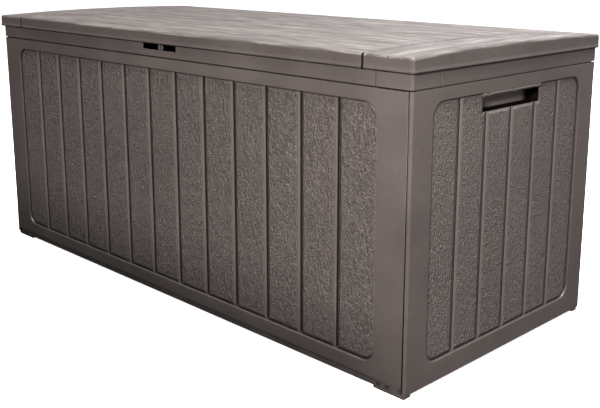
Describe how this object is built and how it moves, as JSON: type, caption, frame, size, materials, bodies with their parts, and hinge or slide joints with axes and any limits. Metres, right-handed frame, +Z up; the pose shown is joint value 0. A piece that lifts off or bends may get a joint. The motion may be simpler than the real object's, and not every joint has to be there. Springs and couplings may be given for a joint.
{
  "type": "deck storage box",
  "caption": "Long resin garden storage box with slatted panel walls, hand slots in the ends, a framed rim and a planked lid that lifts on rear hinges.",
  "frame": {"origin": "centre of the box's outline on the ground", "axes": "+X along the length, +Y towards the hinged back, +Z up; the front with the finger notch faces -Y"},
  "size_m": [1.212, 0.536, 0.529],
  "materials": {
    "resin": "satin moulded polypropylene, pebbled on the slats, fine wood grain on the lid",
    "dark_resin": "smooth moulded polypropylene",
    "steel": "zinc plated"
  },
  "bodies": {
    "box": {"front_panel": "resin", "back_panel": "resin", "end_panel_left": "resin", "end_panel_right": "resin", "handle_cup_left": "dark_resin", "handle_cup_right": "dark_resin", "floor_panel": "dark_resin", "foot_front_left": "dark_resin", "foot_front_right": "dark_resin", "foot_back_left": "dark_resin", "foot_back_right": "dark_resin", "rim_rail_front": "resin", "rim_rail_back": "resin", "rim_rail_left": "resin", "rim_rail_right": "resin", "rim_corner_front_left": "resin", "rim_corner_front_right": "resin", "rim_corner_back_left": "resin", "rim_corner_back_right": "resin", "rim_lock_tab": "resin", "hinge_box_leaf_1": "dark_resin", "hinge_pin_1": "steel", "box_leaf_screw_1_left": "steel", "box_leaf_screw_1_right": "steel", "hinge_box_leaf_2": "dark_resin", "hinge_pin_2": "steel", "box_leaf_screw_2_left": "steel", "box_leaf_screw_2_right": "steel", "hinge_box_leaf_3": "dark_resin", "hinge_pin_3": "steel", "box_leaf_screw_3_left": "steel", "box_leaf_screw_3_right": "steel", "stay_stud_left": "dark_resin", "stay_stud_right": "dark_resin"},
    "lid": {"lid_deck": "resin", "lid_end_cap_left": "resin", "lid_end_cap_right": "resin", "lid_lock_tab": "resin", "hinge_lid_leaf_1": "dark_resin", "hinge_lid_leaf_2": "dark_resin", "hinge_lid_leaf_3": "dark_resin", "lid_leaf_screw_1_left": "steel", "lid_leaf_screw_1_right": "steel", "lid_leaf_screw_2_left": "steel", "lid_leaf_screw_2_right": "steel", "lid_leaf_screw_3_left": "steel", "lid_leaf_screw_3_right": "steel", "stay_bracket_left": "dark_resin", "stay_bracket_right": "dark_resin", "stay_pivot_left": "steel", "stay_pivot_right": "steel"},
    "stay_left": {"stay_arm_left": "dark_resin"},
    "stay_right": {"stay_arm_right": "dark_resin"}
  },
  "joints": [
    {"name": "lid_hinge", "type": "hinge", "parent": "box", "child": "lid", "pos_m": [0, 0.262, 0.499], "axis": [-1, 0, 0], "range_deg": [0, 100]},
    {"name": "stay_pivot_left", "type": "hinge", "parent": "lid", "child": "stay_left", "pos_m": [-0.562, 0.10232, 0.48895], "axis": [-1, 0, 0], "range_deg": [-50, 0]},
    {"name": "stay_pivot_right", "type": "hinge", "parent": "lid", "child": "stay_right", "pos_m": [0.562, 0.10232, 0.48895], "axis": [-1, 0, 0], "range_deg": [-50, 0]}
  ],
  "couplings": [
    {"joint": "stay_pivot_left", "follows": "lid_hinge", "ratio": -0.5},
    {"joint": "stay_pivot_right", "follows": "lid_hinge", "ratio": -0.5}
  ]
}
